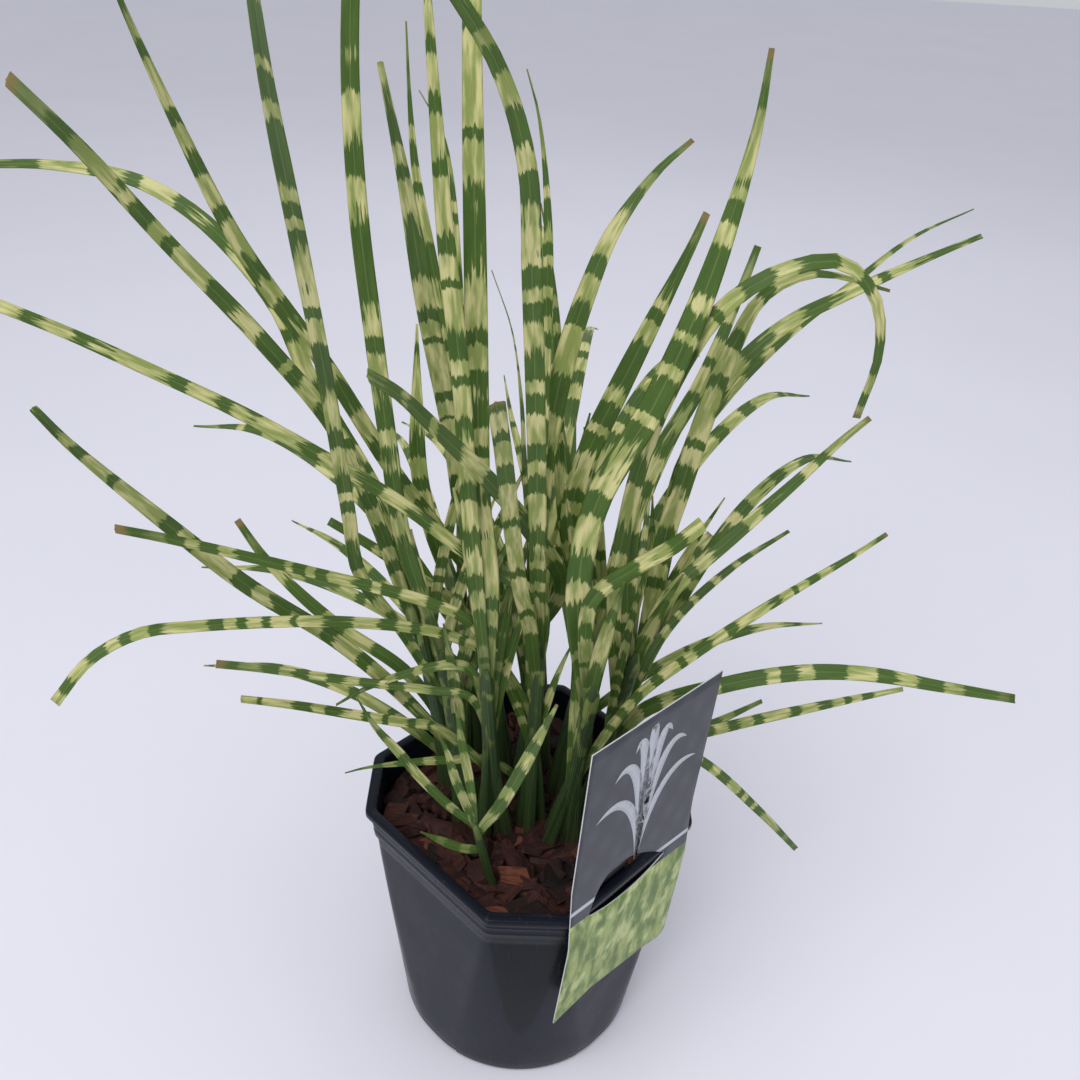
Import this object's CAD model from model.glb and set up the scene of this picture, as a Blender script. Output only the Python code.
"""Looks of a potted grass with banded leaves: pot, bark mulch, label and leafy shoots.

Geometry is worked out in millimetres, in the frame of the part, and becomes metres when a mesh is made.
"""

import math

import bpy
import numpy as np
from mathutils import Matrix, Vector


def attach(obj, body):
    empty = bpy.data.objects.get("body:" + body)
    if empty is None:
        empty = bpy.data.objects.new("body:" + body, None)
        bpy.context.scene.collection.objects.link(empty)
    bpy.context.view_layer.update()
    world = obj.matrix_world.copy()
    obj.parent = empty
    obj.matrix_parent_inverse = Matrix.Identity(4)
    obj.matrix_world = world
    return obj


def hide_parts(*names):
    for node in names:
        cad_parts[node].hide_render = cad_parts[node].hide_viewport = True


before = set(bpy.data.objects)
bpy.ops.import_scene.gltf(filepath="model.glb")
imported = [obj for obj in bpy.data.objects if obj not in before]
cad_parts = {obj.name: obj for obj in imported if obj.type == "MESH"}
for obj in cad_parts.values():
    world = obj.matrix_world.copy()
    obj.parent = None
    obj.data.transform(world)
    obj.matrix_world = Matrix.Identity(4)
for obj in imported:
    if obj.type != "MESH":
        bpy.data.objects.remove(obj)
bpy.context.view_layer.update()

MM = 0.001
GOLDEN_ANGLE = 2.39996

# The photograph's point of view: millimetres, pixels of a 1080 x 1080 frame, and degrees.
EYE = np.array([-22.0, -455.0, 648.0])
FOCAL, CENTRE, FRAME_PIXELS = 1078.0, 540.0, 1080.0
PITCH, TURN, ROLL = (math.radians(angle) for angle in (33.3, 2.3, 3.8))

# Pot: a cone with four short and four long flat sides, which narrow downward to nothing.
POT_HEIGHT, SHORT_REACH, LONG_REACH = 172.0, 95.0, 83.0
BASE_RADIUS, CONE_TOP_RADIUS, SHORT_SIDE_FOOT = 74.5, 98.0, 72.0
WALL, FLANGE_WIDTH, FLANGE_HEIGHT = 1.6, 5.0, 5.0
COLLAR_HEIGHT, COLLAR_STEP, BASE_ROUNDING = 16.0, 1.6, 4.0
CHANNEL_LENGTH, CHANNEL_WIDTH, CHANNEL_HEIGHT = 34.0, 38.0, 4.4
MULCH_TOP, COMPOST_TOP = 151.0, 146.0

# Label: a sheet outside the front right long side, with a half-moon slot and a tongue over the rim.
# Places on it are distances along the pot's side, from its middle, and heights.
LABEL_BEND, LABEL_LEAN, LABEL_THICKNESS, GAP = 150.0, 3.5, 0.7, 0.3
LABEL_LEFT = [(83, -54), (150, -52.5), (200, -55), (294, -51)]
LABEL_RIGHT = [(72, 47), (88, 46.5), (150, 46.5), (196, 44.5), (288, 50.5)]
LABEL_FOOT = [(-54, 83), (-24, 86.5), (25, 77.5), (42, 72), (48, 78)]
SLOT_LEFT, SLOT_RIGHT, SLOT_ABOVE, SLOT_BELOW = (-39, 168), (24.5, 168.5), (-28, 219), (-8, 156)
TONGUE_LEFT, TONGUE_WIDTH, TONGUE_HINGE, TONGUE_DROP = -32.0, 34.0, 194.0, 12.0

# Grass: leafy shoots, which stand in the compost and spread a little as they rise.
SHOOT_TOP, SHOOT_SPREAD, STEM_DEPTH = 280.0, 1.5, 22.0
STEM_RADIUS, CULM_RADIUS, CULM_JOIN = (4.8, 3.2), (3.6, 2.2), 0.55
COARSE_STEPS, FINE_STEPS = 11, 44
BLADE_FOLD = 0.13

# Sheaths and young leaves beside each stem, and how far the small shoot's colouring is moved along it.
EXTRA_SHEATHS, EXTRA_SHEATH_RADIUS, YOUNG_LEAVES, SMALL_SHOOT_SHIFT = 4, (2.9, 1.7), 3, 35.0
LIGHT = np.array([-0.05, -0.62, 0.78]) / np.linalg.norm([-0.05, -0.62, 0.78])

# Each shoot's foot, and how far from it each of its side culms stands. The tiller has its own top and radii.
SHOOTS = {
    "a": [(-45, 14), [(-7, 3), (3, -6)]],
    "b": [(-35, -4), [(-7, -4), (4, -7)]],
    "c": [(-19, -14), [(-6, -6), (7, -4)]],
    "d": [(-18, 30), [(-7, -4), (6, 6)]],
    "e": [(0, -6), [(1, -9), (8, -1)]],
    "g": [(19, -20), [(-8, -3), (8, -4)]],
    "h": [(20, 20), [(-7, -4), (7, 3)]],
    "i": [(35, -1), [(-7, -6), (7, 4)]],
    "j": [(45, 24), [(6, -6), (-3, 8)]],
    "k": [(-2, 15), [(-6, 5), (5, -7)]],
    "l": [(2, 42), [(-6, 5), (7, 2)]],
    "m": [(28, 46), [(-6, -5), (7, -2)]],
    "n": [(-32, 44), [(-7, -3), (5, 6)]],
    "tiller": [(-20, -54), [], (-31, -57, 204), (3.2, 1.6)],
}

# Blades that the photograph shows: shoot, share of the shoot's height where it leaves, the tip's y,
# width, share of the width left at the tip, twist in degrees, path from root to tip in the photograph.
BLADES = [
    ["a", 0.75, -80, 8, 0.8, 15, [[403, 593], [375, 516], [337, 432], [262, 341], [165, 241], [79, 148],
        [7, 79]]],
    ["a", 0.9, 70, 8.4, 0.45, -20, [[385, 510], [310, 379], [275, 303], [207, 224], [138, 181],
        [52, 165], [-10, 164]]],
    ["a", 0.45, 50, 7.5, 0.5, 10, [[406, 672], [330, 620], [268, 562], [237, 520]]],
    ["b", 0.6, -140, 6.8, 0.85, 10, [[403, 632], [360, 575], [348, 510], [327, 386], [300, 248],
        [268, 86], [246, -60]]],
    ["b", 0.95, 15, 8.6, 0.8, 10, [[403, 538], [389, 448], [373, 330], [358, 207], [350, 70], [352, -60]]],
    ["b", 0.35, -120, 8, 0.35, -10, [[403, 696], [337, 641], [248, 586], [162, 520], [69, 444], [33, 408]]],
    ["c", 0.35, -70, 5.4, 0.65, 0, [[437, 728], [400, 722], [344, 713], [293, 705], [241, 699]]],
    ["c", 0.55, -29, 4.8, 0.9, 0, [[470, 697], [430, 690], [361, 682], [258, 668], [216, 664]]],
    ["c", 0.7, -20, 5.5, 0.3, 30, [[468, 668], [448, 665], [403, 675], [365, 689], [336, 705]]],
    ["c", 0.85, 30, 10.4, 0.7, 0, [[489, 580], [480, 499], [478, 413], [475, 241], [473, 120],
        [472, -10], [473, -60]]],
    ["c", 0.95, 0, 8.4, 0.3, 5, [[474, 560], [467, 470], [461, 379], [447, 251], [437, 131], [424, -50]]],
    ["d", 0.9, -45, 8.6, 0.15, 10, [[450, 545], [396, 475], [330, 372], [241, 248], [172, 114], [120, 0],
        [102, -45]]],
    ["d", 0.97, -60, 9.5, 0.2, -5, [[468, 537], [451, 430], [427, 310], [406, 189], [380, 62]]],
    ["d", 0.8, 60, 7.5, 0.05, -25, [[471, 520], [458, 400], [434, 275], [416, 172], [410, 103], [406, 21]]],
    ["d", 0.6, 40, 6.8, 0.7, 0, [[461, 610], [406, 569], [358, 538], [329, 521]]],
    ["e", 0.4, -98, 5.8, 0.7, 10, [[506, 679], [470, 622], [430, 603], [310, 572], [172, 540], [115, 529]]],
    ["e", 0.6, -96, 5.8, 0.9, 0, [[496, 660], [448, 635], [344, 622], [189, 627], [138, 634], [90, 660],
        [55, 703]]],
    ["e", 0.18, -37, 5, 0.1, 15, [[489, 760], [448, 760], [406, 763], [365, 768], [345, 773]]],
    ["e", 0.95, -60, 8.8, 0.6, 0, [[538, 600], [537, 470], [535, 379], [532, 275], [527, 165], [499, 69],
        [440, -30]]],
    ["e", 0.75, -100, 7.8, 0.9, 5, [[531, 634], [520, 589], [513, 538], [503, 452], [496, 403]]],
    ["e", 0.9, -64, 6.8, 0.75, 0, [[540, 600], [482, 565], [406, 507], [324, 458], [241, 413],
        [138, 365], [69, 334], [-8, 303]]],
    ["g", 0.8, 20, 12.5, 0.15, 0, [[578, 590], [598, 500], [650, 413], [691, 327], [726, 234],
        [757, 131], [772, 48]]],
    ["g", 0.85, -50, 8, 0.9, 0, [[591, 603], [634, 569], [676, 545], [703, 524]]],
    ["g", 0.35, -35, 5.8, 0.35, 0, [[634, 700], [693, 655], [762, 610], [861, 551], [887, 534]]],
    ["g", 0.5, 0, 5.6, 0.6, 20, [[650, 738], [703, 762], [758, 810], [796, 849]]],
    ["h", 0.9, 5, 11.5, 0.25, 0, [[571, 520], [585, 461], [619, 389], [654, 320], [691, 248], [707, 213]]],
    ["h", 0.8, 80, 5.5, 0.1, 20, [[562, 516], [559, 420], [557, 327], [550, 258], [541, 203]]],
    ["h", 0.97, 95, 5.5, 0.05, 0, [[573, 510], [573, 470], [576, 417]]],
    ["i", 0.6, -12, 8.2, 0.45, 0, [[615, 590], [645, 450], [691, 351], [729, 303], [781, 272],
        [840, 262], [874, 296], [879, 351], [856, 418]]],
    ["i", 0.8, 60, 8.5, 0.4, 10, [[632, 530], [657, 458], [698, 389], [733, 310], [758, 246]]],
    ["i", 0.55, 60, 7.6, 0.4, 0, [[640, 650], [669, 596], [733, 537], [788, 489], [846, 437], [870, 418]]],
    ["i", 0.45, 110, 5.3, 0.4, 0, [[641, 672], [675, 620], [730, 569], [789, 531]]],
    ["i", 0.3, -20, 8.8, 0.55, 0, [[641, 712], [720, 686], [779, 675], [830, 672], [882, 676],
        [937, 686], [1015, 699]]],
    ["i", 0.2, 40, 6.3, 0.45, 15, [[640, 748], [710, 731], [755, 720], [848, 700], [903, 689]]],
    ["j", 0.4, 0, 10.5, 0.1, 0, [[645, 640], [665, 538], [681, 489], [705, 417], [733, 348], [764, 296],
        [815, 274], [890, 291]]],
    ["j", 0.9, 85, 8.3, 0.3, 0, [[690, 450], [733, 372], [788, 324], [850, 293], [919, 262], [982, 236]]],
    ["j", 0.85, 140, 5, 0.1, 10, [[680, 465], [722, 403], [781, 341], [846, 289], [912, 238], [974, 209]]],
    ["j", 0.65, 85, 8, 0.9, 0, [[668, 600], [692, 556], [712, 535]]],
    ["j", 0.15, 75, 5.5, 0.5, 20, [[650, 740], [710, 724], [762, 701]]],
    ["j", 0.35, 50, 6.5, 0.7, -20, [[625, 651], [638, 600], [648, 572]]],
    ["k", 0.9, -90, 9, 0.7, 0, [[562, 586], [530, 530], [499, 492], [430, 424], [396, 393], [368, 376]]],
    ["k", 0.97, 80, 11, 0.2, 0, [[540, 500], [557, 395], [574, 330], [588, 290], [612, 234], [657, 172],
        [693, 140]]],
    ["k", 0.8, 60, 6.5, 0.05, 20, [[540, 480], [545, 344], [548, 224], [539, 117], [527, 69]]],
    ["l", 0.6, 130, 5, 0.05, 90, [[525, 480], [521, 400], [512, 330], [492, 270]]],
    ["l", 0.8, 120, 6, 0.05, 0, [[527, 482], [512, 420], [504, 375]]],
    ["n", 0.9, 115, 5.5, 0.05, 30, [[462, 450], [459, 300], [444, 138], [419, 90]]],
    ["n", 0.8, 90, 9.5, 0.1, 0, [[432, 530], [419, 470], [417, 396], [417, 324]]],
    ["tiller", 0.55, -62, 5, 0.1, 0, [[462, 848], [440, 840], [421, 832]]],
    ["tiller", 0.9, -70, 5, 0.1, 0, [[445, 802], [416, 773], [403, 757], [374, 725], [357, 698]]],
    ["tiller", 0.95, -50, 5, 0.1, 0, [[455, 778], [447, 752], [438, 733]]],
    ["tiller", 0.97, -42, 5, 0.1, 0, [[470, 784], [463, 748], [455, 702]]],
    ["tiller", 0.8, -78, 7, 0.2, 0, [[500, 806], [524, 766], [543, 731], [557, 705]]],
]

# Blades on the far side: shoot, share of the shoot's height, azimuth, reach, rise, width.
FAR_BLADES = [
    ["l", 0.95, 95, 190, 150, 9],
    ["l", 0.7, 60, 210, 110, 8],
    ["l", 0.5, 120, 200, 80, 8],
    ["m", 0.7, 45, 200, 100, 9],
    ["m", 0.5, 75, 220, 70, 8],
    ["m", 0.3, 100, 190, 40, 7],
    ["m", 0.2, 20, 170, 45, 7],
    ["n", 0.6, 150, 210, 90, 9],
    ["n", 0.45, 110, 210, 70, 8],
    ["n", 0.3, 135, 190, 45, 7],
    ["d", 0.4, 165, 190, 60, 7],
    ["a", 0.2, 170, 150, 45, 7],
    ["k", 0.6, 80, 220, 140, 9],
    ["h", 0.6, 60, 230, 130, 9],
    ["h", 0.4, 85, 200, 80, 8],
    ["j", 0.5, 39, 180, 110, 8],
]


def rotation(axis, angle):
    return np.array(Matrix.Rotation(angle, 3, Vector(axis)))


def camera_axes():
    """Directions ahead, right and up of the photograph's camera."""
    ahead = np.array([
        math.sin(TURN) * math.cos(PITCH),
        math.cos(TURN) * math.cos(PITCH),
        -math.sin(PITCH),
    ])
    level = np.array([math.cos(TURN), -math.sin(TURN), 0.0])
    upright = np.cross(level, ahead)
    right = level * math.cos(ROLL) + upright * math.sin(ROLL)
    up = upright * math.cos(ROLL) - level * math.sin(ROLL)
    return ahead, right, up


AHEAD, RIGHT, UP = camera_axes()


def make_camera():
    camera = bpy.data.objects.new("camera", bpy.data.cameras.new("camera"))
    bpy.context.scene.collection.objects.link(camera)
    camera.data.sensor_width = 36.0
    camera.data.lens = 36.0 * FOCAL / FRAME_PIXELS
    camera.data.clip_start, camera.data.clip_end = 0.01, 50.0
    matrix = Matrix.Identity(4)
    for row in range(3):
        matrix[row][0], matrix[row][1] = RIGHT[row], UP[row]
        matrix[row][2], matrix[row][3] = -AHEAD[row], EYE[row] * MM
    camera.matrix_world = matrix
    bpy.context.scene.camera = camera


def sighted(place, y):
    """The point where the line of sight through a place in the photograph reaches a distance y."""
    line = AHEAD + (place[0] - CENTRE) / FOCAL * RIGHT - (place[1] - CENTRE) / FOCAL * UP
    return EYE + line * (y - EYE[1]) / line[1]


# Materials


class Shader:
    """A material's nodes: each call adds a node and links or sets its sockets."""

    def __init__(self, name):
        self.material = bpy.data.materials.new(name)
        self.material.use_nodes = True
        self.tree = self.material.node_tree
        self.surface = self.tree.nodes["Principled BSDF"]

    def put(self, socket, value):
        if isinstance(value, bpy.types.NodeSocket):
            self.tree.links.new(value, socket)
        elif value is not None:
            socket.default_value = value

    def node(self, kind, output=0, settings=None, **sockets):
        made = self.tree.nodes.new("ShaderNode" + kind)
        for key, value in (settings or {}).items():
            setattr(made, key, value)
        for key, value in sockets.items():
            self.put(made.inputs[key.replace("_", " ")], value)
        return made.outputs[output]

    def math(self, operation, a, b=None, c=None):
        made = self.tree.nodes.new("ShaderNodeMath")
        made.operation = operation
        for socket, value in zip(made.inputs, (a, b, c)):
            self.put(socket, value)
        return made.outputs[0]

    def mix(self, share, a, b):
        made = self.tree.nodes.new("ShaderNodeMix")
        made.data_type = "RGBA"
        for index, value in ((0, share), (6, a), (7, b)):
            self.put(made.inputs[index], value)
        return made.outputs[2]

    def ramp(self, value, low, high, to_low=0.0, to_high=1.0):
        made = self.tree.nodes.new("ShaderNodeMapRange")
        made.interpolation_type = "SMOOTHSTEP"
        for socket, entry in zip(made.inputs, (value, low, high, to_low, to_high)):
            self.put(socket, entry)
        return made.outputs[0]

    def attribute(self, name, output=2):
        return self.node("Attribute", output, {"attribute_name": name})

    def place(self):
        return self.node("TexCoord", 3)

    def vector(self, x, y, z):
        return self.node("CombineXYZ", X=x, Y=y, Z=z)

    def noise(self, vector, scale, detail=3.0):
        return self.node("TexNoise", Vector=vector, Scale=scale, Detail=detail, Roughness=0.55)

    def bump(self, height, strength, distance):
        return self.node("Bump", Height=height, Strength=strength, Distance=distance)

    def finish(self, color, rough, normal=None, **settings):
        self.put(self.surface.inputs["Base Color"], color)
        self.put(self.surface.inputs["Roughness"], rough)
        self.put(self.surface.inputs["Normal"], normal)
        for key, value in settings.items():
            self.surface.inputs[key.replace("_", " ")].default_value = value
        return self.material


def rgb(red, green, blue):
    """A colour given as it shows on a screen, 0 to 255, as linear light."""
    linear = [
        (v / 12.92 if v <= 0.04045 else ((v + 0.055) / 1.055) ** 2.4)
        for v in (red / 255, green / 255, blue / 255)
    ]
    return (*linear, 1.0)


def leaf_material():
    """Green leaf with pale cross bands, whose edges run out along the veins."""
    s = Shader("banded_leaf")
    across, along = s.attribute("across"), s.attribute("along")
    left, seed = s.attribute("left"), s.attribute("seed")
    pitch, under = s.attribute("pitch"), s.attribute("under")
    offset = s.math("MULTIPLY", seed, 57.0)
    drift = s.noise(s.vector(offset, s.math("MULTIPLY", along, 0.019), 3.0), 1.0, 2.0)
    streak = s.noise(
        s.vector(s.math("MULTIPLY", across, 4.0), s.math("MULTIPLY", along, 0.05), offset), 1.0, 3.0)
    veins = s.noise(
        s.vector(s.math("MULTIPLY", across, 13.0), s.math("MULTIPLY", along, 0.07), offset), 1.0, 2.0)
    phase = s.math("ADD", s.math("DIVIDE", along, pitch), offset)
    phase = s.math("ADD", phase, s.math("MULTIPLY", drift, 3.2))
    phase = s.math("ADD", phase, s.math("MULTIPLY", s.math("SUBTRACT", streak, 0.5), 0.5))
    bulge = s.math("MULTIPLY", s.math("MULTIPLY", across, across), 0.07)
    phase = s.math("ADD", phase, bulge)
    wave = s.math("ABSOLUTE", s.math("SUBTRACT", s.math("FRACT", phase), 0.5))
    edge = s.math("ADD", wave, s.math("MULTIPLY", s.math("SUBTRACT", veins, 0.5), 0.14))
    greenness = s.math("FRACT", s.math("MULTIPLY", seed, 7.31))
    threshold = s.math("ADD", 0.15, s.math("MULTIPLY", greenness, 0.13))
    threshold = s.math("ADD", threshold, s.math("MULTIPLY", s.math("SUBTRACT", drift, 0.5), 0.5))
    band = s.ramp(s.math("SUBTRACT", edge, threshold), -0.01, 0.06)
    band = s.math("MULTIPLY", band, s.ramp(along, 25.0, 105.0, 0.30, 1.0))
    band = s.math("MULTIPLY", band, s.ramp(left, 0.0, 55.0, s.ramp(greenness, 0.3, 0.6, 1.0, 0.15), 1.0))
    cloud = s.noise(s.vector(across, s.math("MULTIPLY", along, 0.035), offset), 1.3, 2.0)
    green = s.mix(cloud, rgb(42, 68, 18), rgb(84, 114, 36))
    pale = s.mix(s.ramp(cloud, 0.38, 0.66), rgb(146, 157, 84), rgb(216, 209, 148))
    color = s.mix(band, green, pale)
    fine = s.math("SINE", s.math("MULTIPLY", across, 62.0))
    color = s.mix(s.math("MULTIPLY", s.ramp(fine, 0.2, 1.0), 0.2), color, rgb(86, 120, 36))
    ribbing = s.ramp(s.math("ABSOLUTE", across), 0.03, 0.09, 0.22, 0.0)
    ribbing = s.math("MULTIPLY", ribbing, s.math("SUBTRACT", 1.0, under))
    color = s.mix(ribbing, color, rgb(150, 170, 92))
    color = s.mix(s.math("MULTIPLY", under, 0.35), color, rgb(108, 148, 78))
    color = s.mix(s.ramp(along, 0.0, 60.0, 0.6, 0.0), color, rgb(32, 56, 18))
    dry_length = s.math("MULTIPLY", s.math("FRACT", s.math("MULTIPLY", seed, 3.7)), 9.0)
    dry = s.math("ADD", left, s.math("MULTIPLY", streak, 9.0))
    dry = s.ramp(s.math("SUBTRACT", dry, dry_length), -2.0, 3.0, 0.85, 0.0)
    color = s.mix(dry, color, rgb(132, 110, 66))
    spots = s.vector(s.math("MULTIPLY", across, 3.0), s.math("MULTIPLY", along, 0.06), offset)
    rust = s.ramp(s.noise(spots, 2.0), 0.68, 0.74)
    color = s.mix(s.math("MULTIPLY", rust, 0.4), color, rgb(156, 112, 62))
    height = s.math("ADD", s.math("MULTIPLY", fine, 0.5), s.math("MULTIPLY", veins, 0.8))
    normal = s.bump(height, 0.35, 0.0002)
    rough = s.ramp(veins, 0.2, 0.8, 0.38, 0.52)
    return s.finish(
        color, rough, normal, Specular_IOR_Level=0.42, Subsurface_Weight=0.1,
        Subsurface_Radius=(0.004, 0.006, 0.001), Subsurface_Scale=0.25)


def sheath_material():
    """Dark green leaf sheaths round the stems, finely ribbed, purplish brown at the foot."""
    s = Shader("leaf_sheath")
    across, along, seed = s.attribute("across"), s.attribute("along"), s.attribute("seed")
    offset = s.math("MULTIPLY", seed, 31.0)
    streak = s.noise(
        s.vector(s.math("MULTIPLY", across, 14.0), s.math("MULTIPLY", along, 0.02), offset), 1.0, 3.0)
    color = s.mix(streak, rgb(28, 48, 24), rgb(72, 96, 50))
    pale = s.noise(s.vector(across, s.math("MULTIPLY", along, 0.045), offset), 1.2, 2.0)
    climb = s.ramp(along, 70.0, 135.0)
    pale = s.math("MULTIPLY", s.math("MULTIPLY", s.ramp(pale, 0.52, 0.62), climb), 0.75)
    color = s.mix(pale, color, rgb(134, 148, 74))
    color = s.mix(s.ramp(along, 18.0, 42.0, 0.5, 0.0), color, rgb(70, 52, 42))
    ribs = s.math("SINE", s.math("MULTIPLY", across, 50.0))
    normal = s.bump(s.math("ADD", ribs, streak), 0.4, 0.0003)
    return s.finish(color, s.ramp(streak, 0.3, 0.7, 0.42, 0.6), normal, Specular_IOR_Level=0.4)


def pot_material():
    """Near-black moulded plastic with a soft sheen, faint scratches, dust and a mottled bloom."""
    s = Shader("pot_plastic")
    place = s.place()
    bloom = s.noise(place, 28.0, 4.0)
    grain = s.noise(place, 900.0, 2.0)
    stretch = s.node("Mapping", Vector=place, Scale=(220.0, 220.0, 14.0))
    scratch = s.noise(stretch, 1.0, 2.0)
    height = s.node("SeparateXYZ", 2, Vector=place)
    x = s.math("ABSOLUTE", s.node("SeparateXYZ", 0, Vector=place))
    y = s.math("ABSOLUTE", s.node("SeparateXYZ", 1, Vector=place))
    low, high = SHORT_SIDE_FOOT, POT_HEIGHT - FLANGE_HEIGHT - COLLAR_HEIGHT
    slope = (wall_reach(high) - wall_reach(low)) / (high - low)
    side = s.math("MULTIPLY_ADD", height, slope, (wall_reach(low) - slope * low) * MM)
    flat = s.ramp(s.math("SUBTRACT", s.math("MAXIMUM", x, y), side), -0.0005, -0.0002)
    flat = s.math("MULTIPLY", flat, s.ramp(height, (high - 2.0) * MM, (high - 0.5) * MM, 1.0, 0.0))
    color = s.mix(bloom, rgb(20, 23, 32), rgb(28, 32, 43))
    color = s.mix(flat, color, rgb(9, 11, 18))
    dusty = s.math("MULTIPLY", s.ramp(height, 0.0, 0.03, 0.14, 0.0), s.ramp(bloom, 0.4, 0.65))
    color = s.mix(dusty, color, rgb(112, 106, 98))
    color = s.mix(s.ramp(scratch, 0.66, 0.74, 0.0, 0.06), color, rgb(120, 124, 130))
    rough = s.math("ADD", s.ramp(bloom, 0.3, 0.7, 0.18, 0.3), s.math("MULTIPLY", scratch, 0.08))
    normal = s.bump(grain, 0.12, 0.0003)
    return s.finish(color, rough, normal, Specular_IOR_Level=0.12)


def bark_material():
    """Reddish-brown bark, streaked along each chip, with a few orange ones."""
    s = Shader("bark")
    tone, grain = s.attribute("tone"), s.attribute("grain", 1)
    fibre = s.noise(s.node("Mapping", Vector=grain, Scale=(90.0, 420.0, 420.0)), 1.0, 4.0)
    blotch = s.noise(s.node("Mapping", Vector=grain, Scale=(150.0, 150.0, 150.0)), 1.0, 2.0)
    color = s.mix(s.ramp(tone, 0.0, 0.75), rgb(22, 13, 12), rgb(70, 39, 33))
    color = s.mix(s.ramp(tone, 0.9, 0.94), color, rgb(118, 66, 48))
    color = s.mix(s.ramp(fibre, 0.42, 0.7, 0.0, 0.7), color, rgb(36, 21, 18))
    color = s.mix(s.ramp(blotch, 0.58, 0.72, 0.0, 0.5), color, rgb(100, 68, 56))
    normal = s.bump(fibre, 0.8, 0.0012)
    return s.finish(color, s.ramp(blotch, 0.3, 0.7, 0.7, 0.95), normal, Specular_IOR_Level=0.3)


def compost_material():
    s = Shader("compost_crumb")
    crumb = s.noise(s.place(), 340.0, 4.0)
    color = s.mix(s.ramp(crumb, 0.35, 0.7), rgb(14, 10, 9), rgb(42, 29, 23))
    return s.finish(color, 0.95, s.bump(crumb, 0.9, 0.002), Specular_IOR_Level=0.2)


def print_material():
    """The label's print: grey above with a soft quilted pattern, and a green and cream blur below."""
    s = Shader("label_print")
    place = s.attribute("sheet", 1)
    u, v = s.node("SeparateXYZ", 0, Vector=place), s.node("SeparateXYZ", 1, Vector=place)
    one = s.math("PINGPONG", s.math("ADD", u, s.math("MULTIPLY", v, 0.8)), 11.0)
    two = s.math("PINGPONG", s.math("SUBTRACT", u, s.math("MULTIPLY", v, 0.8)), 11.0)
    quilt = s.math("MULTIPLY", s.math("MULTIPLY", one, two), 1 / 121.0)
    upper = s.mix(quilt, rgb(65, 67, 74), rgb(79, 81, 89))
    lean = s.node("Mapping", Vector=place, Rotation=(0.0, 0.0, 0.5), Scale=(0.12, 0.036, 1.0))
    tufts = s.noise(lean, 1.0, 3.0)
    wide = s.node("Mapping", Vector=place, Rotation=(0.0, 0.0, -0.7), Scale=(0.08, 0.045, 1.0))
    blades = s.noise(wide, 1.0, 2.0)
    lower = s.mix(s.ramp(tufts, 0.38, 0.62), rgb(96, 124, 56), rgb(162, 178, 104))
    lower = s.mix(s.ramp(blades, 0.5, 0.66, 0.0, 0.8), lower, rgb(202, 210, 146))
    lower = s.mix(s.ramp(blades, 0.3, 0.42, 0.5, 0.0), lower, rgb(88, 114, 54))
    slant = s.math("ADD", v, s.math("MULTIPLY", u, 0.1))
    color = s.mix(s.ramp(slant, 165.6, 165.9), lower, upper)
    strip = s.math("MULTIPLY", s.ramp(slant, 174.6, 174.8), s.ramp(slant, 177.8, 178.0, 1.0, 0.0))
    color = s.mix(strip, color, rgb(198, 201, 207))
    normal = s.bump(s.noise(place, 0.9, 2.0), 0.05, 0.0004)
    return s.finish(color, 0.42, normal, Specular_IOR_Level=0.3)


def ink_material():
    s = Shader("label_ink")
    speck = s.noise(s.place(), 420.0, 2.0)
    color = s.mix(s.ramp(speck, 0.56, 0.72, 0.0, 0.35), rgb(194, 197, 204), rgb(122, 124, 132))
    return s.finish(color, 0.45, Specular_IOR_Level=0.4)


def floor_material():
    s = Shader("pale_floor")
    cloud = s.noise(s.place(), 3.0, 2.0)
    color = s.mix(cloud, rgb(233, 232, 242), rgb(239, 238, 248))
    return s.finish(color, 0.8, Specular_IOR_Level=0.2)


# Meshes


def mesh_object(name, points, faces, materials, attributes=None, face_material=None, smooth=True):
    """A mesh object from points in millimetres. Attributes are one value or one vector for each point."""
    mesh = bpy.data.meshes.new(name)
    mesh.from_pydata((np.asarray(points) * MM).tolist(), [], [list(map(int, face)) for face in faces])
    for key, values in (attributes or {}).items():
        values = np.asarray(values, np.float32)
        kind, field = ("FLOAT", "value") if values.ndim == 1 else ("FLOAT_VECTOR", "vector")
        mesh.attributes.new(key, kind, "POINT").data.foreach_set(field, values.ravel())
    for material in materials if isinstance(materials, (list, tuple)) else [materials]:
        mesh.materials.append(material)
    if face_material is not None:
        mesh.polygons.foreach_set("material_index", np.asarray(face_material, np.int32))
    mesh.polygons.foreach_set("use_smooth", [smooth] * len(mesh.polygons))
    mesh.update()
    made = bpy.data.objects.new(name, mesh)
    bpy.context.scene.collection.objects.link(made)
    return made


def settle(piece, slot, *nodes):
    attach(piece, "root")
    if nodes:
        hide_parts(*nodes)
    return piece


def ring_faces(rings, corners):
    """Four-sided faces between rings of corners, and a cap on each end."""
    faces = []
    for first in range(0, (rings - 1) * corners, corners):
        for corner in range(corners):
            a, b = first + corner, first + (corner + 1) % corners
            faces.append((a, b, b + corners, a + corners))
    faces.append(tuple(reversed(range(corners))))
    faces.append(tuple(range((rings - 1) * corners, rings * corners)))
    return faces


# Pot


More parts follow.
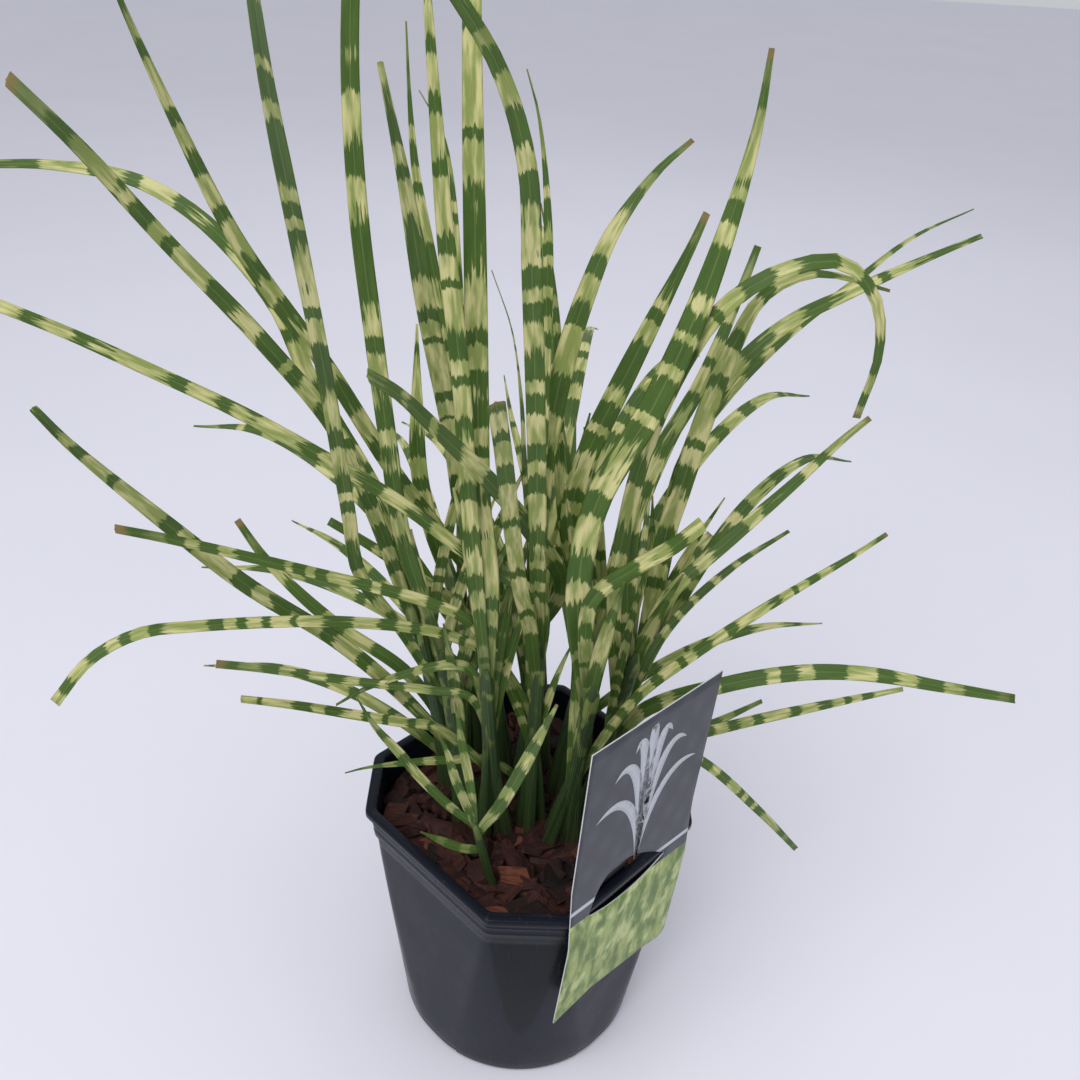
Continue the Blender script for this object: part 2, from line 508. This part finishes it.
def outline_radius(angles, z, sharpness=170.0):
    """The pot's outline at a height: a circle cut by eight flat sides, with softly rounded corners."""
    top = POT_HEIGHT - FLANGE_HEIGHT
    up = min(max(z / top, 0.0), 1.0)
    foot = SHORT_SIDE_FOOT / top
    cone = BASE_RADIUS + (CONE_TOP_RADIUS - BASE_RADIUS) * up
    cone_foot = BASE_RADIUS + (CONE_TOP_RADIUS - BASE_RADIUS) * foot
    short = cone_foot + (SHORT_REACH - cone_foot) * (up - foot) / (1 - foot)
    long = BASE_RADIUS + (LONG_REACH - BASE_RADIUS) * up
    total = np.ones(np.shape(angles))
    for side in range(8):
        facing = np.clip(np.cos(angles - side * math.pi / 4), 0.0, 1.0)
        total = total + (facing * cone / (long if side % 2 else short)) ** sharpness
    return cone * total ** (-1.0 / sharpness)


def lathe(profile, segments):
    """Rings of points: each place of the profile is a reach to a short side's middle, and a height."""
    angles = np.arange(segments) * 2 * math.pi / segments
    rings = []
    for reach, z in profile:
        in_flange = z > POT_HEIGHT - FLANGE_HEIGHT - 0.01
        middle = SHORT_REACH if in_flange else outline_radius(0.0, z)
        radii = outline_radius(angles, z) * reach / middle
        rings.append(np.stack([radii * np.cos(angles), radii * np.sin(angles), np.full(segments, z)], 1))
    return np.concatenate(rings)


def wall_reach(z):
    return float(outline_radius(0.0, z)) - FLANGE_WIDTH * min(max(z / POT_HEIGHT, 0.0), 1.0)


def make_pot():
    skirt, collar = POT_HEIGHT - FLANGE_HEIGHT, POT_HEIGHT - FLANGE_HEIGHT - COLLAR_HEIGHT
    levels = np.linspace(BASE_ROUNDING, collar, 22)
    profile = [(20.0, 0.0), (BASE_RADIUS - 6.0, 0.0), (BASE_RADIUS - 2.2, 0.0), (BASE_RADIUS - 1.0, 0.5)]
    profile += [(BASE_RADIUS - 0.3, 1.6)]
    profile += [(wall_reach(z), z) for z in levels]
    profile += [(wall_reach(collar) + 0.5, collar + 0.25), (wall_reach(collar) + COLLAR_STEP, collar + 1.3)]
    for line in (5.0, 10.5):
        z = collar + line
        ridge = wall_reach(z) + COLLAR_STEP + 0.12
        profile += [(wall_reach(z - 0.5) + COLLAR_STEP, z - 0.5), (ridge, z - 0.1)]
        profile += [(ridge, z + 0.1), (wall_reach(z + 0.5) + COLLAR_STEP, z + 0.5)]
    profile += [(wall_reach(skirt - 0.4) + COLLAR_STEP, skirt - 0.4)]
    profile += [(SHORT_REACH - 2.4, skirt), (SHORT_REACH - 0.7, skirt), (SHORT_REACH, skirt + 0.7)]
    profile += [(SHORT_REACH, POT_HEIGHT - 1.2), (SHORT_REACH - 0.35, POT_HEIGHT - 0.35)]
    profile += [(SHORT_REACH - 1.2, POT_HEIGHT), (SHORT_REACH - FLANGE_WIDTH - 0.9, POT_HEIGHT)]
    profile += [(SHORT_REACH - FLANGE_WIDTH - WALL, POT_HEIGHT - 0.7)]
    for z in np.linspace(POT_HEIGHT - 2.0, BASE_ROUNDING + WALL, 16):
        profile.append((wall_reach(z) - WALL, z))
    profile += [(BASE_RADIUS - BASE_ROUNDING, WALL), (20.0, WALL)]
    segments = 336
    points = lathe(profile, segments)
    faces = ring_faces(len(profile), segments)
    pot = mesh_object("nursery_pot", points, faces, pot_material())
    cut_channels(pot)
    settle(pot, "pot", "pot")


def cut_channels(pot):
    """Cuts four drainage channels under the base, open at the wall."""
    boxes, faces = [], []
    half, start = CHANNEL_WIDTH / 2, BASE_RADIUS - CHANNEL_LENGTH / 2
    for corner in range(4):
        angle = math.pi / 4 + corner * math.pi / 2
        turn = rotation((0, 0, 1), angle)
        first = 8 * corner
        for x in (start, start + 60):
            for y in (-half, half):
                for z in (-5, CHANNEL_HEIGHT):
                    boxes.append(turn @ np.array([x, y, z]))
        faces += [tuple(first + i for i in face) for face in (
            (0, 1, 3, 2), (4, 6, 7, 5), (0, 4, 5, 1), (2, 3, 7, 6), (0, 2, 6, 4), (1, 5, 7, 3))]
    cutter = mesh_object("cutter", np.array(boxes), faces, pot.data.materials[0], smooth=False)
    cut = pot.modifiers.new("channels", "BOOLEAN")
    cut.operation, cut.solver, cut.object = "DIFFERENCE", "EXACT", cutter
    graph = bpy.context.evaluated_depsgraph_get()
    mesh = bpy.data.meshes.new_from_object(pot.evaluated_get(graph))
    pot.modifiers.clear()
    pot.data = mesh
    bpy.data.objects.remove(cutter)


# Mulch


def make_mulch():
    """Bark chips, each a worn angular flake, laid in layers over dark compost."""
    random = np.random.default_rng(5)
    base_points, base_faces = worn_block()
    points, faces, tones, grains = [], [], [], []
    count, start = 360, 0
    stems = np.array([shoot[0] for shoot in SHOOTS.values()], float)
    for i in range(count):
        ring = 86.0 * math.sqrt((i + 0.5) / count)
        angle = i * GOLDEN_ANGLE + random.uniform(-0.15, 0.15)
        limit = float(outline_radius(np.array(angle), 158.0)) - 10.0
        size = np.array([random.uniform(10, 24), random.uniform(7, 15), random.uniform(2.5, 6.5)])
        ring = min(ring, limit - 0.42 * size[0])
        spot = np.array([ring * math.cos(angle), ring * math.sin(angle)])
        chip = base_points.copy()
        chip += 0.09 * np.sin(chip[:, [1, 2, 0]] * random.uniform(2.5, 5.5, 3) + random.uniform(0, 6, 3))
        chip[:, 1] *= 1 - random.uniform(-0.3, 0.55) * (chip[:, 0] + 0.5)
        chip[:, 2] += random.uniform(-0.35, 0.35) * chip[:, 0] ** 2
        chip = chip * size
        grain = chip * MM + random.uniform(0, 5, 3)
        turn = rotation((0, 0, 1), random.uniform(0, 2 * math.pi))
        turn = turn @ rotation((1, 0, 0), random.normal(0, 0.38))
        turn = turn @ rotation((0, 1, 0), random.normal(0, 0.26))
        heap = 2.2 * math.sin(spot[0] * 0.07 + 1) * math.cos(spot[1] * 0.06)
        height = MULCH_TOP - 0.5 + heap + random.uniform(-2.2, 3.0)
        nearest = np.min(np.linalg.norm(stems - spot, axis=1))
        if nearest < 5.0 + 0.3 * size[0]:
            height -= 3.0
        chip = chip @ turn.T + np.array([spot[0], spot[1], height])
        points.append(chip)
        faces += [tuple(start + corner for corner in face) for face in base_faces]
        start += len(chip)
        tones.append(np.full(len(chip), random.uniform(0, 1)))
        grains.append(grain)
    chips = mesh_object(
        "bark_chips", np.concatenate(points), faces, bark_material(),
        {"tone": np.concatenate(tones), "grain": np.concatenate(grains)})
    settle(chips, "bark", "bark_mulch")
    sharpen(chips, 35.0)


def sharpen(piece, degrees):
    """Marks edges sharper than an angle, so that the faces beside them shade apart."""
    piece.data.set_sharp_from_angle(angle=math.radians(degrees))


def worn_block():
    """A unit block of 4 x 3 x 2 cells with its corners drawn in."""
    index, points, faces = {}, [], []
    cells = (4, 3, 2)

    def corner(key):
        if key not in index:
            index[key] = len(points)
            points.append([key[axis] / cells[axis] - 0.5 for axis in range(3)])
        return index[key]

    for axis in range(3):
        one, two = (axis + 1) % 3, (axis + 2) % 3
        for side in (0, cells[axis]):
            for i in range(cells[one]):
                for j in range(cells[two]):
                    loop = []
                    for di, dj in ((0, 0), (1, 0), (1, 1), (0, 1)):
                        key = [0, 0, 0]
                        key[axis], key[one], key[two] = side, i + di, j + dj
                        loop.append(corner(tuple(key)))
                    faces.append(loop if side else loop[::-1])
    points = np.array(points)
    length = np.linalg.norm(points / 0.5, axis=1)
    points *= (1 - 0.16 * np.clip(length - 1.0, 0, None))[:, None]
    return points, faces


def make_soil():
    """Dark uneven compost, which shows between the chips."""
    random = np.random.default_rng(8)
    rings, segments = 26, 96
    angles = np.arange(segments) * 2 * math.pi / segments
    edge = outline_radius(angles, 150.0) - FLANGE_WIDTH - WALL - 1.0
    points = []
    waves = random.uniform(0.05, 0.22, (7, 2)) * random.choice([-1, 1], (7, 2))
    for z_low in (True, False):
        order = range(rings) if z_low else range(rings - 1, -1, -1)
        for ring in order:
            reach = edge * (ring + 0.4) / (rings - 0.6)
            x, y = reach * np.cos(angles), reach * np.sin(angles)
            bumps = sum(np.sin(x * a + y * b + 3 * a) for a, b in waves) * 0.35
            z = COMPOST_TOP + 1.4 + bumps if not z_low else np.full(segments, COMPOST_TOP - 3.0)
            points.append(np.stack([x, y, z], 1))
    faces = ring_faces(2 * rings, segments)
    soil = mesh_object("compost_surface", np.concatenate(points), faces, compost_material())
    settle(soil, "compost")
    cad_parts["compost"].data.materials.clear()
    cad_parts["compost"].data.materials.append(soil.data.materials[0])


# Label


def label_point(u, v, out=0.0):
    """A point on the label: u along the pot's side, v the height along the sheet, out from the sheet."""
    hang = max(0.0, LABEL_BEND - v)
    reach = LONG_REACH + GAP + out - hang * math.tan(math.radians(LABEL_LEAN))
    flat = np.array([u, -reach, v])
    return rotation((0, 0, 1), math.pi / 4) @ flat


def bezier_height(u, start, control, end):
    """The height of a curve with one control point, where it passes a distance along the side."""
    t = np.linspace(0, 1, 101)
    one, two, three = (1 - t) ** 2, 2 * t * (1 - t), t * t
    along = one * start[0] + two * control[0] + three * end[0]
    heights = one * start[1] + two * control[1] + three * end[1]
    return float(np.interp(u, along, heights))


def across_label(share, v):
    """The distance along the side at a share of the label's width, at a height."""
    left = np.interp(v, *zip(*LABEL_LEFT))
    right = np.interp(v, *zip(*LABEL_RIGHT))
    return float(left + (right - left) * share)


def core_material():
    """The white plastic of the sheet, which its cut edges show."""
    s = Shader("label_core")
    speck = s.noise(s.place(), 600.0, 2.0)
    return s.finish(s.mix(speck, rgb(196, 198, 200), rgb(228, 229, 230)), 0.5, Specular_IOR_Level=0.4)


def make_label():
    """The printed sheet, with a half-moon slot at the rim and a tongue through it."""
    middle = SLOT_LEFT[1]
    width = across_label(1, middle) - across_label(0, middle)
    first, last = ((place[0] - across_label(0, middle)) / width for place in (SLOT_LEFT, SLOT_RIGHT))
    shares = np.concatenate([
        np.linspace(0, first, 6), np.linspace(first, last, 33)[1:], np.linspace(last, 1, 8)[1:]])
    points, sheet, faces, index = [], [], [], {}

    def corner(share, v):
        key = (round(share, 5), round(v, 3))
        if key not in index:
            index[key] = len(points)
            u = across_label(share, v)
            points.append(label_point(u, v))
            sheet.append([u, v, 0.0])
        return index[key]

    def heights(share, is_low):
        u = across_label(share, middle)
        low = high = middle + 0.3
        if first < share < last:
            low = bezier_height(u, SLOT_LEFT, SLOT_BELOW, SLOT_RIGHT)
            high = bezier_height(u, SLOT_LEFT, SLOT_ABOVE, SLOT_RIGHT)
        if is_low:
            return np.linspace(np.interp(across_label(share, 83), *zip(*LABEL_FOOT)), low, 17)
        return np.linspace(high, 294 - 6 * share, 17)

    for share, after in zip(shares[:-1], shares[1:]):
        for is_low in (True, False):
            left, right = heights(share, is_low), heights(after, is_low)
            for row in range(16):
                loop = [corner(share, left[row]), corner(after, right[row])]
                loop += [corner(after, right[row + 1]), corner(share, left[row + 1])]
                loop = [place for k, place in enumerate(loop) if place not in loop[:k]]
                if len(loop) > 2:
                    faces.append(loop)
    materials = [print_material(), core_material()]
    label = mesh_object("label_sheet", np.array(points), faces, materials, {"sheet": np.array(sheet)})
    thicken = label.modifiers.new("thickness", "SOLIDIFY")
    thicken.thickness, thicken.offset, thicken.material_offset_rim = LABEL_THICKNESS * MM, 1.0, 1
    settle(label, "label", "label")
    make_tongue()
    make_motif()


def make_tongue():
    """The tongue cut from the slot: it slants back over the rim and hangs inside the pot."""
    inner = LONG_REACH * (1 - FLANGE_WIDTH / SHORT_REACH) - WALL - 4 * GAP
    outer = LONG_REACH + GAP + 0.35
    path = [(outer, TONGUE_HINGE + 1.5), (outer - 0.3, TONGUE_HINGE - 1), (outer - 1.6, TONGUE_HINGE - 5)]
    path += [(inner + 2.6, POT_HEIGHT + 9), (inner + 0.6, POT_HEIGHT + 4.2), (inner - 0.4, POT_HEIGHT)]
    path += [(inner - 0.4, POT_HEIGHT - TONGUE_DROP)]
    points, sheet, faces = [], [], []
    columns = np.linspace(0, TONGUE_WIDTH, 13) + TONGUE_LEFT
    for row, (reach, z) in enumerate(path):
        for u in columns:
            centre = TONGUE_LEFT + TONGUE_WIDTH / 2
            pinch = 1.0 - 0.2 * (row / (len(path) - 1)) ** 2
            flat = np.array([centre + (u - centre) * pinch, -reach, z])
            points.append(rotation((0, 0, 1), math.pi / 4) @ flat)
            sheet.append([u, 200.0 + row * 5.0, 0.0])
    wide = len(columns)
    for row in range(len(path) - 1):
        for k in range(wide - 1):
            a = row * wide + k
            faces.append((a, a + 1, a + wide + 1, a + wide))
    printed = bpy.data.materials["label_print"]
    tongue = mesh_object("label_tongue", np.array(points), faces, printed, {"sheet": np.array(sheet)})
    thicken = tongue.modifiers.new("thickness", "SOLIDIFY")
    thicken.thickness, thicken.offset = 0.6 * MM, 0.0
    settle(tongue, "label")


def make_motif():
    """A plain printed tuft of arching blades in the label's grey field, as a thin layer of ink."""
    points, faces = [], []
    strokes = [
        (-38, 58, 7), (-27, 80, 7.5), (-13, 92, 8), (1, 97, 8.5), (16, 90, 8), (30, 76, 7.5), (42, 54, 6.5)]
    for reach, rise, width in strokes:
        start = len(points)
        for step in range(25):
            share = step / 24
            u = -4.0 + reach * share ** 1.7
            v = 186.0 + rise * math.sin(share * 1.9) / math.sin(1.57)
            slope = np.array([reach * 1.7 * max(share, 0.02) ** 0.7, rise * 1.9 * math.cos(share * 1.9)])
            side = np.array([-slope[1], slope[0]]) / np.linalg.norm(slope)
            half = 0.5 * width * (0.25 + 1.1 * share ** 0.6) * (1 - share ** 3) + 0.12
            for sign in (-1, 1):
                at = (u + side[0] * half * sign, v + side[1] * half * sign)
                points.append(label_point(at[0], at[1], LABEL_THICKNESS + 0.08))
        faces += [(start + 2 * k, start + 2 * k + 2, start + 2 * k + 3, start + 2 * k + 1) for k in range(24)]
    motif = mesh_object("label_motif", np.array(points), faces, ink_material())
    thicken = motif.modifiers.new("thickness", "SOLIDIFY")
    thicken.thickness, thicken.offset = 0.08 * MM, 0.0
    settle(motif, "label")


# Grass


def stem_point(shoot, share):
    entry = SHOOTS[shoot]
    foot = entry[0]
    low = np.array([foot[0], foot[1], MULCH_TOP], float)
    high = entry[2] if len(entry) > 2 else (foot[0] * SHOOT_SPREAD, foot[1] * SHOOT_SPREAD, SHOOT_TOP)
    return low + (np.array(high, float) - low) * share


def sighted_path(row):
    shoot, share, tip_y, places = row[0], row[1], row[2], row[6]
    root = stem_point(shoot, share)
    steps = [40.0] + [math.dist(places[i - 1], places[i]) for i in range(1, len(places))]
    reaches = np.cumsum(steps)
    along = (reaches / reaches[-1]) ** 1.25
    points = [stem_point(shoot, share - 0.14), root]
    points += [sighted(place, root[1] + (tip_y - root[1]) * a) for place, a in zip(places, along)]
    return np.array(points)


def arched_path(row):
    shoot, share, azimuth, reach, rise = row[:5]
    root, heading = stem_point(shoot, share), math.radians(azimuth)
    points = [stem_point(shoot, share - 0.14), root]
    for along in (0.25, 0.5, 0.75, 1.0):
        out, up = reach * along ** 1.2, rise * math.sin(along * 2.1) * 1.15
        points.append(root + np.array([out * math.cos(heading), out * math.sin(heading), up]))
    return np.array(points)


def smooth_path(points, steps):
    """Evenly spaced places on the centripetal Catmull-Rom curve through the points."""
    ends = [2 * points[0] - points[1], *points, 2 * points[-1] - points[-2]]
    share = np.linspace(0, 1, 60, endpoint=False)[:, None]
    parts = []
    for p0, p1, p2, p3 in zip(ends, ends[1:], ends[2:], ends[3:]):
        d0, d1, d2 = (max(np.linalg.norm(b - a) ** 0.5, 1e-4) for a, b in ((p0, p1), (p1, p2), (p2, p3)))
        t1 = ((p1 - p0) / d0 - (p2 - p0) / (d0 + d1) + (p2 - p1) / d1) * d1
        t2 = ((p2 - p1) / d1 - (p3 - p1) / (d1 + d2) + (p3 - p2) / d2) * d1
        c2, c3 = -3 * p1 + 3 * p2 - 2 * t1 - t2, 2 * p1 - 2 * p2 + t1 + t2
        parts.append(p1 + t1 * share + c2 * share ** 2 + c3 * share ** 3)
    curve = np.concatenate([*parts, points[-1:]])
    reach = np.concatenate([[0], np.cumsum(np.linalg.norm(np.diff(curve, axis=0), axis=1))])
    even = np.linspace(0, reach[-1], steps + 1)
    return np.stack([np.interp(even, reach, curve[:, k]) for k in range(3)], 1), reach[-1]


def smoothstep(x, low, high):
    x = np.clip((x - low) / (high - low), 0, 1)
    return x * x * (3 - 2 * x)


def blade_faces_up(points):
    """The upper face's direction at each coarse step: it turns to the light, a little more at each step."""
    places, _ = smooth_path(points, COARSE_STEPS)
    ups, face = [], None
    for i in range(COARSE_STEPS + 1):
        ahead = places[min(i + 1, COARSE_STEPS)] - places[max(i - 1, 0)]
        ahead /= np.linalg.norm(ahead)
        wanted = LIGHT - LIGHT.dot(ahead) * ahead
        wanted /= np.linalg.norm(wanted)
        face = wanted if face is None else face + 0.45 * (wanted - face)
        face = face - face.dot(ahead) * ahead
        face /= np.linalg.norm(face)
        ups.append(face)
    return np.array(ups)


ACROSS = np.array([-1, -0.78, -0.52, -0.28, -0.1, 0, 0.1, 0.28, 0.52, 0.78, 1])
RING = np.concatenate([ACROSS[::-1], ACROSS[1:-1]])
RING_UNDER = np.concatenate([np.zeros(len(ACROSS)), np.ones(len(ACROSS) - 2)])


def turned(angle, reach):
    return np.array([math.cos(angle), math.sin(angle), 0.0]) * reach


def young_path(shoot, random):
    """A short upright leaf in the middle of the clump, beside its shoot's stem."""
    share, heading = random.uniform(0.3, 0.8), random.uniform(0, 2 * math.pi)
    reach, rise = random.uniform(10, 34), random.uniform(90, 165)
    root = stem_point(shoot, share)
    points = [stem_point(shoot, share - 0.14), root]
    for along in (0.25, 0.5, 0.75, 1.0):
        points.append(root + turned(heading, reach * along ** 1.6) + np.array([0.0, 0.0, rise * along]))
    return np.array(points)


def blade_rings(points, width, tip_share, twist, random):
    """Points of a blade's skin, ring by ring, with what its material needs at each point."""
    ups = blade_faces_up(points)
    places, length = smooth_path(points, FINE_STEPS)
    along = np.linspace(0, 1, FINE_STEPS + 1)
    ahead = np.gradient(places, axis=0)
    ahead /= np.linalg.norm(ahead, axis=1, keepdims=True)
    coarse = np.linspace(0, 1, COARSE_STEPS + 1)
    up = np.stack([np.interp(along, coarse, ups[:, k]) for k in range(3)], 1)
    up -= np.sum(up * ahead, 1, keepdims=True) * ahead
    up /= np.linalg.norm(up, axis=1, keepdims=True)
    turn = np.radians(twist * along)[:, None]
    up = up * np.cos(turn) + np.cross(ahead, up) * np.sin(turn)
    side = np.cross(ahead, up)
    grown = smoothstep(along, -0.25, 0.3)
    fading = 1 - (1 - tip_share) * smoothstep(along, 0.55, 1.06) ** 1.3
    half = 0.5 * width * grown * fading
    phase, waves = random.uniform(0, 6.28), random.uniform(3, 6)
    ripple = 0.05 * np.sin(along * waves * 2 * math.pi + phase)
    x = RING[None, :]
    lift = half[:, None] * (BLADE_FOLD * np.abs(x) ** 1.25 + ripple[:, None] * x * np.abs(x))
    thick = 0.32 + 0.6 * np.exp(-(x / 0.14) ** 2) * np.clip(half[:, None] / 4.0, 0.3, 1.0)
    lift = lift - thick * RING_UNDER[None, :]
    skin = places[:, None, :] + side[:, None, :] * (half[:, None] * x)[:, :, None]
    skin = skin + up[:, None, :] * lift[:, :, None]
    count = skin.shape[0] * skin.shape[1]
    distance = np.repeat(along * length, len(RING))
    values = {
        "across": np.tile(RING, FINE_STEPS + 1),
        "along": distance,
        "left": length - distance,
        "seed": np.full(count, random.uniform(0, 1)),
        "pitch": np.full(count, random.uniform(24, 40) if width > 6.5 else random.uniform(15, 25)),
        "under": np.tile(RING_UNDER, FINE_STEPS + 1),
    }
    return skin.reshape(-1, 3), values


def sheath_rings(low, high, radii, random):
    """A leaf sheath: a slightly flattened, keeled tube that starts in the compost and narrows upward."""
    rings, corners = 20, 18
    axis = (high - low) / np.linalg.norm(high - low)
    low = low - axis * STEM_DEPTH
    length = np.linalg.norm(high - low)
    angles = np.arange(corners) * 2 * math.pi / corners
    side = np.cross(axis, [0.0, 1.0, 0.0])
    side /= np.linalg.norm(side)
    depth = np.cross(side, axis)
    heading = random.uniform(-0.5, 0.5)
    one = side * math.cos(heading) + depth * math.sin(heading)
    two = -side * math.sin(heading) + depth * math.cos(heading)
    points, along = [], []
    for ring in range(rings):
        share = ring / (rings - 1)
        reach = radii[0] + (radii[1] - radii[0]) * share
        reach *= 1 + 0.06 * math.sin(9 * share + 6 * heading)
        if ring == rings - 1:
            reach *= 0.4
        centre = low + (high - low) * share
        for angle in angles:
            keel = 1 + 0.07 * math.cos(3 * angle + 2 * share)
            wide, deep = reach * 1.12 * keel * math.cos(angle), reach * 0.9 * keel * math.sin(angle)
            points.append(centre + one * wide + two * deep)
            along.append(length * share)
    count = len(points)
    values = {
        "across": np.tile(np.sin(angles * 0.5), rings),
        "along": np.array(along),
        "left": np.full(count, 500.0),
        "seed": np.full(count, random.uniform(0, 1)),
        "pitch": np.full(count, 25.0),
        "under": np.zeros(count),
    }
    return np.array(points), values, ring_faces(rings, corners)


def make_shoots():
    leaf, sheath = leaf_material(), sheath_material()
    random, young = np.random.default_rng(21), np.random.default_rng(5)
    for shoot, entry in SHOOTS.items():
        points, faces, kinds, values = [], [], [], {}
        count, is_small = 0, not entry[1]

        def take(skin, rows, loops, kind):
            nonlocal count
            points.append(skin)
            faces.extend(tuple(count + i for i in loop) for loop in loops)
            kinds.extend([kind] * len(loops))
            if is_small:
                rows = {**rows, "along": rows["along"] + SMALL_SHOOT_SHIFT}
            for key, row in rows.items():
                values.setdefault(key, []).append(row)
            count += len(skin)

        foot = stem_point(shoot, 0)
        tubes = [(foot, stem_point(shoot, 1), entry[3] if len(entry) > 3 else STEM_RADIUS)]
        for x, y in entry[1]:
            tubes.append((foot + np.array([x, y, 0.0]), stem_point(shoot, CULM_JOIN), CULM_RADIUS))
        for _ in range(0 if is_small else EXTRA_SHEATHS):
            offset = turned(young.uniform(0, 2 * math.pi), young.uniform(5, 11))
            tubes.append((foot + offset, stem_point(shoot, young.uniform(0.4, 0.85)), EXTRA_SHEATH_RADIUS))
        for low, high, radii in tubes:
            skin, rows, loops = sheath_rings(low, high, radii, random)
            take(skin, rows, loops, 1)
        for row in BLADES + FAR_BLADES:
            if row[0] != shoot:
                continue
            seen = len(row) == 7
            path = sighted_path(row) if seen else arched_path(row)
            width, tip, twist = (row[3], row[4], row[5]) if seen else (row[5], 0.1, 0.0)
            skin, rows = blade_rings(path, width, tip, twist, random)
            take(skin, rows, ring_faces(FINE_STEPS + 1, len(RING)), 0)
        for _ in range(0 if is_small else YOUNG_LEAVES):
            path, width = young_path(shoot, young), young.uniform(5.5, 8.5)
            skin, rows = blade_rings(path, width, 0.1, young.uniform(-50, 50), young)
            take(skin, rows, ring_faces(FINE_STEPS + 1, len(RING)), 0)
        piece = mesh_object(
            "leaves_" + shoot, np.concatenate(points), faces, [leaf, sheath],
            {key: np.concatenate(row) for key, row in values.items()}, kinds)
        settle(piece, "grass", "shoot_" + shoot)


# Surroundings


def make_surroundings():
    size = 6.0
    floor = bpy.data.meshes.new("floor")
    corners = [(-size, -size, 0), (size, -size, 0), (size, size, 0), (-size, size, 0)]
    floor.from_pydata(corners, [], [(0, 1, 2, 3)])
    floor.materials.append(floor_material())
    ground = bpy.data.objects.new("floor", floor)
    bpy.context.scene.collection.objects.link(ground)
    bpy.context.scene.view_settings.view_transform = "Standard"
    world = bpy.data.worlds.new("studio")
    bpy.context.scene.world = world
    world.use_nodes = True
    background = world.node_tree.nodes["Background"]
    background.inputs["Color"].default_value = (0.88, 0.90, 0.95, 1.0)
    background.inputs["Strength"].default_value = 0.62
    for name, place, watts, width in (
        ("key_light", (-0.7, -0.9, 1.9), 20.0, 1.3),
        ("fill_light", (1.3, -0.4, 1.3), 3.8, 1.4),
        ("back_light", (0.2, 1.5, 1.5), 3.0, 1.6),
    ):
        light = bpy.data.lights.new(name, "AREA")
        light.energy, light.size = watts, width
        lamp = bpy.data.objects.new(name, light)
        bpy.context.scene.collection.objects.link(lamp)
        lamp.location = place
        lamp.rotation_euler = (Vector((0, 0, 0.25)) - Vector(place)).to_track_quat("-Z", "Y").to_euler()


make_camera()
make_surroundings()
make_pot()
make_soil()
make_mulch()
make_label()
make_shoots()
